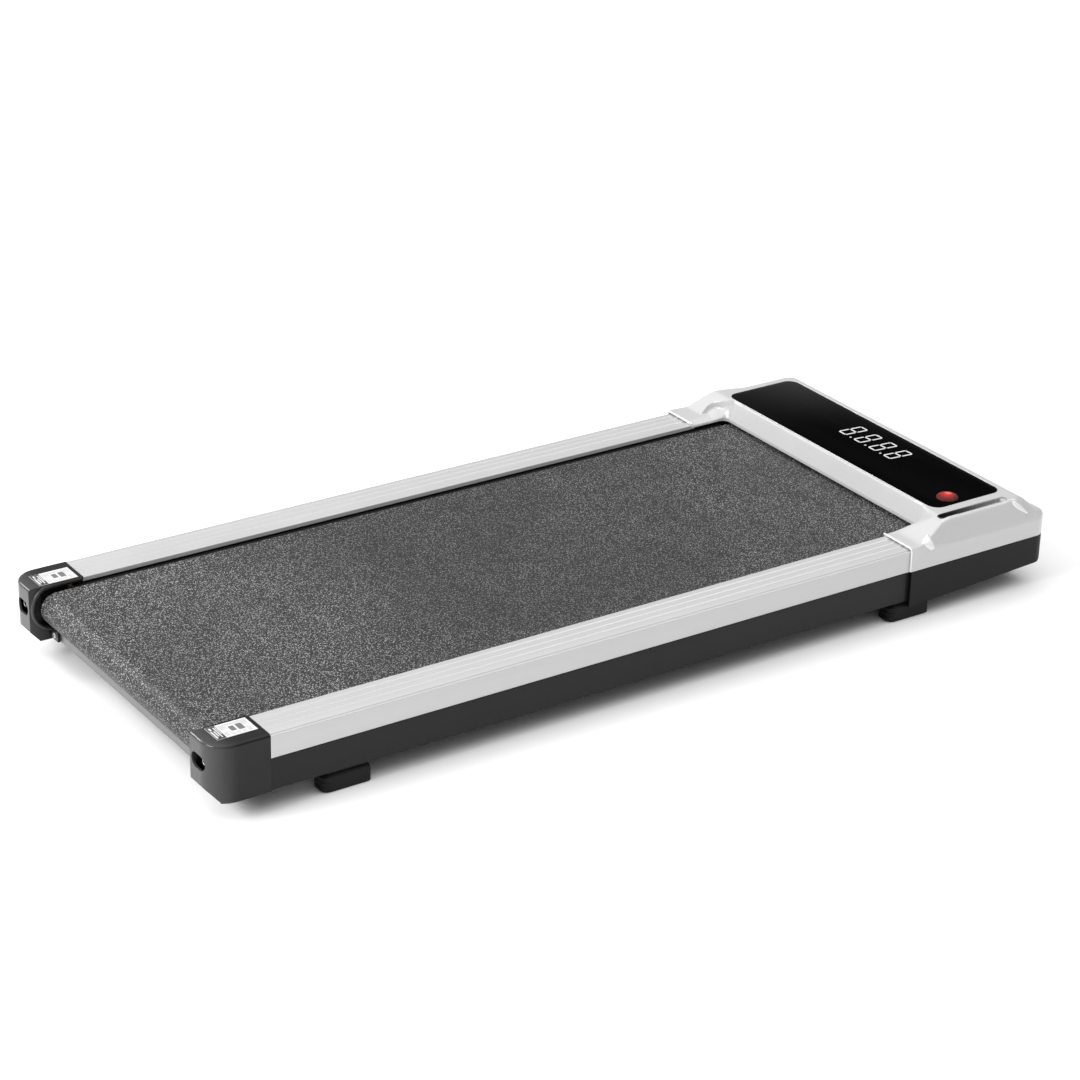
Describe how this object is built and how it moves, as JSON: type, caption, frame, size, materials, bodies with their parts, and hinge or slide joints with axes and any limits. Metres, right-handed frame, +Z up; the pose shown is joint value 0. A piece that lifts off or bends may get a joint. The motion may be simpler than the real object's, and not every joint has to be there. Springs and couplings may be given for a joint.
{
  "type": "treadmill",
  "caption": "Flat under-desk treadmill: speckled walking belt between ribbed foot rails, rear end caps, and a low front hood with a display.",
  "frame": {"origin": "on the floor under the middle of the overall box", "axes": "+Z up, +Y forwards to the console, +X to the walker's right"},
  "size_m": [0.524, 1.2263, 0.1295],
  "materials": {
    "silver_plastic": "silver satin paint",
    "black_plastic": "fine satin",
    "cap_plastic": "gloss",
    "label_vinyl": "printed sticker with plain marks",
    "anodised_silver": "brushed and anodised",
    "black_steel": "black powder coat",
    "deck_board": "black laminate",
    "black_rubber": "matt",
    "zinc_steel": "zinc plated",
    "belt_fabric": "diamond-grain polyvinyl with pale flecks",
    "bare_aluminium": "mill finish",
    "copper_core": "laminations and windings",
    "display_glass": "polished black glass",
    "green_board": "solder mask",
    "digit_white": "lit segments",
    "red_lens": "polished",
    "grey_plastic": "satin"
  },
  "bodies": {
    "frame": {"base_cover": "black_plastic", "board_parts": "black_plastic", "board_posts": "zinc_steel", "button_switch": "black_plastic", "cap_labels": "label_vinyl", "control_board": "green_board", "cover_screws": "zinc_steel", "cross_beams": "black_steel", "deck_cushions": "black_rubber", "deck_screws": "zinc_steel", "digit_modules": "digit_white", "display_board": "green_board", "display_window": "display_glass", "drive_belt": "black_rubber", "end_cap_left": "cap_plastic", "end_cap_right": "cap_plastic", "foot_rail_left": "anodised_silver", "foot_rail_right": "anodised_silver", "foot_screws": "zinc_steel", "front_axle": "zinc_steel", "front_axle_bolts": "zinc_steel", "front_bracket_left": "black_steel", "front_bracket_right": "black_steel", "front_feet": "black_rubber", "front_hood": "silver_plastic", "heat_sink": "bare_aluminium", "motor_brush_caps": "black_plastic", "motor_can": "black_steel", "motor_cradles": "black_plastic", "motor_end_bell": "bare_aluminium", "motor_plate": "black_steel", "motor_screws": "zinc_steel", "power_inlet": "black_plastic", "rear_bracket_left": "black_steel", "rear_bracket_right": "black_steel", "rear_feet": "black_rubber", "rear_guard_bar": "bare_aluminium", "running_belt": "belt_fabric", "running_deck": "deck_board", "side_frame_left": "black_steel", "side_frame_right": "black_steel", "slot_tray": "grey_plastic", "switch_housing": "black_plastic", "wheel_pins": "zinc_steel"},
    "rear_axle": {"rear_axle": "zinc_steel"},
    "rear_roller": {"rear_roller": "zinc_steel", "rear_bearings": "zinc_steel"},
    "front_roller": {"front_roller": "zinc_steel", "front_bearings": "zinc_steel", "drive_pulley": "black_plastic"},
    "motor_rotor": {"motor_shaft": "zinc_steel", "motor_armature": "copper_core", "motor_flywheel": "black_plastic", "motor_pulley": "bare_aluminium"},
    "adjust_bolt_left": {"adjust_bolt_left": "zinc_steel"},
    "adjust_bolt_right": {"adjust_bolt_right": "zinc_steel"},
    "start_button": {"start_button": "red_lens"},
    "power_rocker": {"power_rocker": "black_plastic"},
    "transport_wheel_left": {"transport_wheel_left": "black_rubber"},
    "transport_wheel_right": {"transport_wheel_right": "black_rubber"}
  },
  "joints": [
    {"name": "motor_spin", "type": "hinge", "parent": "frame", "child": "motor_rotor", "pos_m": [0, 0.548, 0.072], "axis": [1, 0, 0], "continuous": true},
    {"name": "front_roller_spin", "type": "hinge", "parent": "frame", "child": "front_roller", "pos_m": [0, 0.468, 0.0715], "axis": [1, 0, 0], "continuous": true},
    {"name": "belt_tension", "type": "slide", "parent": "frame", "child": "rear_axle", "axis": [0, 1, 0], "range_m": [-0.0025, 0.0025], "deforming": ["running_belt"]},
    {"name": "rear_roller_spin", "type": "hinge", "parent": "rear_axle", "child": "rear_roller", "pos_m": [0, -0.5795, 0.0715], "axis": [1, 0, 0], "continuous": true},
    {"name": "adjust_bolt_left_turn", "type": "hinge", "parent": "frame", "child": "adjust_bolt_left", "pos_m": [-0.23, -0.603, 0.0715], "axis": [0, 1, 0], "range_deg": [-720, 720]},
    {"name": "adjust_bolt_right_turn", "type": "hinge", "parent": "frame", "child": "adjust_bolt_right", "pos_m": [0.23, -0.603, 0.0715], "axis": [0, 1, 0], "range_deg": [-720, 720]},
    {"name": "start_press", "type": "slide", "parent": "frame", "child": "start_button", "axis": [0, 0, -1], "range_m": [0, 0.0015], "stiffness_N_per_m": 800},
    {"name": "power_rock", "type": "hinge", "parent": "frame", "child": "power_rocker", "pos_m": [0.123, 0.606, 0.057], "axis": [1, 0, 0], "range_deg": [0, 16]},
    {"name": "left_wheel_roll", "type": "hinge", "parent": "frame", "child": "transport_wheel_left", "pos_m": [-0.21, 0.588, 0.02], "axis": [1, 0, 0], "continuous": true},
    {"name": "right_wheel_roll", "type": "hinge", "parent": "frame", "child": "transport_wheel_right", "pos_m": [0.21, 0.588, 0.02], "axis": [1, 0, 0], "continuous": true}
  ],
  "couplings": [
    {"joint": "front_roller_spin", "follows": "motor_spin", "ratio": 0.3},
    {"joint": "rear_roller_spin", "follows": "motor_spin", "ratio": 0.3},
    {"joint": "adjust_bolt_left_turn", "follows": "belt_tension", "rad_per_m": -5026.5},
    {"joint": "adjust_bolt_right_turn", "follows": "belt_tension", "rad_per_m": -5026.5}
  ]
}
